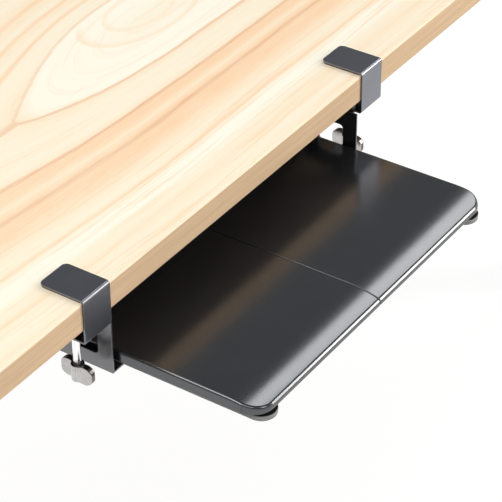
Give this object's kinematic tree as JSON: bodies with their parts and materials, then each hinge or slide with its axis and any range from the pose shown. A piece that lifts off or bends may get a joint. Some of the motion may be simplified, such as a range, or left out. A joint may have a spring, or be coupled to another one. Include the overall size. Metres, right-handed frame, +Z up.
{
  "type": "computer desk with keyboard tray",
  "caption": "Wooden-top computer desk on a steel frame, with a dark sliding keyboard tray hung from clamps on its front edge.",
  "frame": {"origin": "on the floor, under the middle of the whole desk with its tray pulled out", "axes": "+X to the right along the desk, +Y towards its back, +Z up; the tray pulls out towards -Y"},
  "size_m": [2, 0.868, 0.7435],
  "materials": {
    "desk_wood": "pale lacquered wood, wide grain along X",
    "frame_coat": "black powder coat, fine texture",
    "clamp_coat": "dark slate satin coat",
    "bracket_coat": "dark grey satin coat",
    "grip_rubber": "matt black rubber",
    "bright_steel": "bright plated steel",
    "knob_metal": "brushed nickel",
    "zinc": "zinc-plated steel",
    "tray_plastic": "near-black fine-grained satin",
    "runner_steel": "light grey satin coat",
    "nylon": "black nylon",
    "plug_plastic": "black moulded plastic"
  },
  "bodies": {
    "desk": {"desk_top": "desk_wood", "front_left_leg": "frame_coat", "front_right_leg": "frame_coat", "rear_left_leg": "frame_coat", "rear_right_leg": "frame_coat", "leg_plates": "frame_coat", "leg_screws": "zinc", "leg_end_plugs": "plug_plastic", "levelling_feet": "plug_plastic", "front_rail": "frame_coat", "rear_rail": "frame_coat", "left_rail": "frame_coat", "right_rail": "frame_coat", "left_clamp": "clamp_coat", "right_clamp": "clamp_coat", "left_grip_pad": "grip_rubber", "right_grip_pad": "grip_rubber", "left_jaw_nut": "zinc", "right_jaw_nut": "zinc", "left_side_bracket": "bracket_coat", "right_side_bracket": "bracket_coat", "bracket_bolts": "zinc", "bracket_nuts": "zinc", "left_glide_liner": "nylon", "right_glide_liner": "nylon", "liner_rivets": "zinc", "rear_buffers": "grip_rubber"},
    "tray": {"tray_left_half": "tray_plastic", "tray_right_half": "tray_plastic", "front_joiner_plate": "zinc", "rear_joiner_plate": "zinc", "joiner_screws": "zinc", "left_runner": "runner_steel", "right_runner": "runner_steel", "runner_spacers": "nylon", "runner_screws": "zinc", "runner_stops": "grip_rubber"},
    "left_pad": {"left_pressure_pad": "grip_rubber"},
    "right_pad": {"right_pressure_pad": "grip_rubber"},
    "left_screw": {"left_clamp_screw": "bright_steel", "left_wing_knob": "knob_metal"},
    "right_screw": {"right_clamp_screw": "bright_steel", "right_wing_knob": "knob_metal"}
  },
  "joints": [
    {"name": "tray_slide", "type": "slide", "parent": "desk", "child": "tray", "axis": [0, 1, 0], "range_m": [0, 0.166]},
    {"name": "left_pad_lift", "type": "slide", "parent": "desk", "child": "left_pad", "axis": [0, 0, 1], "range_m": [-0.00751, 0]},
    {"name": "left_screw_turn", "type": "hinge", "parent": "left_pad", "child": "left_screw", "pos_m": [-0.24765, -0.239, 0.65], "axis": [0, 0, 1], "range_deg": [-2160, 0]},
    {"name": "right_pad_lift", "type": "slide", "parent": "desk", "child": "right_pad", "axis": [0, 0, 1], "range_m": [-0.00751, 0]},
    {"name": "right_screw_turn", "type": "hinge", "parent": "right_pad", "child": "right_screw", "pos_m": [0.24765, -0.239, 0.65], "axis": [0, 0, 1], "range_deg": [-2160, 0]}
  ],
  "couplings": [
    {"joint": "left_pad_lift", "follows": "left_screw_turn", "m_per_rad": 0.00019894},
    {"joint": "right_pad_lift", "follows": "right_screw_turn", "m_per_rad": 0.00019894}
  ]
}
